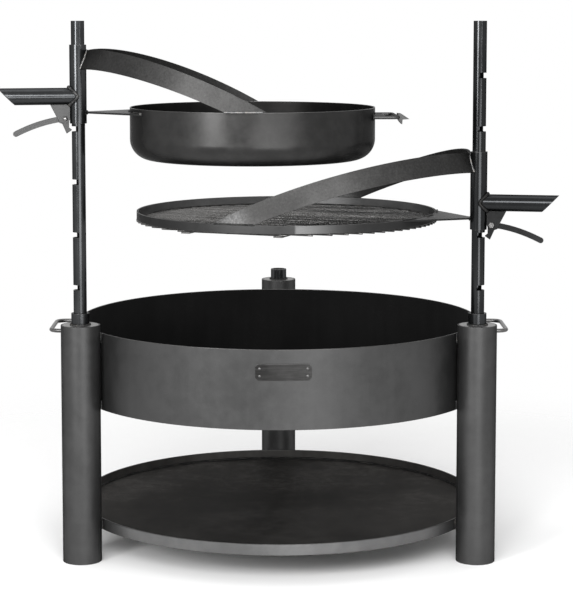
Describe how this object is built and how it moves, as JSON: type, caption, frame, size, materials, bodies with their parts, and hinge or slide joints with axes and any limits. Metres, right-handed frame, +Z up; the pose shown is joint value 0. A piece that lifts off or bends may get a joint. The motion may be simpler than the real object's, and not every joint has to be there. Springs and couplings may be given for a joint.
{
  "type": "brazier with grill",
  "caption": "Round fire bowl on tube legs with a log tray, and a grill and a deep pan on arms that swing and latch at several heights on notched poles.",
  "frame": {"origin": "on the ground, under the middle of the bowl", "axes": "+Z up; the front, with the name plate and the two pole legs, towards -Y; +X to the right seen from the front"},
  "size_m": [1.2513, 1.0823, 1.23],
  "materials": {
    "mill_steel": "satin dark grey oiled steel",
    "sooty_steel": "matt near black steel",
    "blued_pole": "blue-black tube with a soft sheen",
    "brushed_strip": "mottled grey rolled flat bar",
    "bright_cap": "light grey turned plate",
    "bright_rod": "light steel rod",
    "zinc_bolt": "bright zinc"
  },
  "bodies": {
    "base": {"leg_tube_left": "mill_steel", "leg_foot_left": "mill_steel", "leg_cap_left": "bright_cap", "socket_floor_left": "mill_steel", "socket_tube_left": "blued_pole", "leg_tube_right": "mill_steel", "leg_foot_right": "mill_steel", "leg_cap_right": "bright_cap", "socket_floor_right": "mill_steel", "socket_tube_right": "blued_pole", "leg_tube_rear": "mill_steel", "leg_foot_rear": "mill_steel", "leg_cap_rear": "bright_cap", "socket_floor_rear": "mill_steel", "socket_tube_rear": "blued_pole", "bowl_wall": "mill_steel", "bowl_floor": "sooty_steel", "tray_rim": "mill_steel", "tray_floor": "sooty_steel", "bowl_handle_left": "bright_rod", "bowl_handle_right": "bright_rod", "name_plate": "brushed_strip", "plate_rivet_1": "bright_rod", "plate_rivet_2": "bright_rod", "plate_rivet_3": "bright_rod", "plate_rivet_4": "bright_rod"},
    "left_pole": {"pole_left": "blued_pole"},
    "pan_carriage": {"pan_sleeve": "blued_pole", "pan_grip_tube": "blued_pole", "pan_cheek_a": "mill_steel", "pan_cheek_b": "mill_steel", "pan_pivot_bolt": "zinc_bolt", "pan_pivot_nut": "zinc_bolt", "pan_strip_a": "brushed_strip", "pan_strip_b": "brushed_strip", "pan_gusset": "brushed_strip", "pan": "mill_steel", "pan_handle": "bright_rod", "pan_handle_plate": "brushed_strip", "pan_handle_hook": "bright_rod"},
    "pan_latch": {"pan_lever": "mill_steel"},
    "right_pole": {"pole_right": "blued_pole"},
    "grill_carriage": {"grill_sleeve": "blued_pole", "grill_grip_tube": "blued_pole", "grill_cheek_a": "mill_steel", "grill_cheek_b": "mill_steel", "grill_pivot_bolt": "zinc_bolt", "grill_pivot_nut": "zinc_bolt", "grill_strip_a": "brushed_strip", "grill_strip_b": "brushed_strip", "grill_gusset": "brushed_strip", "grill_ring": "mill_steel", "grate": "bright_rod"},
    "grill_latch": {"grill_lever": "mill_steel"}
  },
  "joints": [
    {"name": "left_pole_swivel", "type": "hinge", "parent": "base", "child": "left_pole", "pos_m": [-0.44938, -0.25945, 0.405], "axis": [0, 0, 1], "continuous": true},
    {"name": "pan_lift", "type": "slide", "parent": "left_pole", "child": "pan_carriage", "axis": [0, 0, 1], "range_m": [0, 0.1195]},
    {"name": "pan_latch_hinge", "type": "hinge", "parent": "pan_carriage", "child": "pan_latch", "pos_m": [-0.47855, -0.26645, 1.012], "axis": [-0.2334, 0.9724, 0], "range_deg": [0, 22]},
    {"name": "right_pole_swivel", "type": "hinge", "parent": "base", "child": "right_pole", "pos_m": [0.44938, -0.25945, 0.405], "axis": [0, 0, 1], "continuous": true},
    {"name": "grill_lift", "type": "slide", "parent": "right_pole", "child": "grill_carriage", "axis": [0, 0, 1], "range_m": [-0.1195, 0]},
    {"name": "grill_latch_hinge", "type": "hinge", "parent": "grill_carriage", "child": "grill_latch", "pos_m": [0.47883, -0.26517, 0.773], "axis": [-0.1908, -0.9816, 0], "range_deg": [0, 22]}
  ]
}
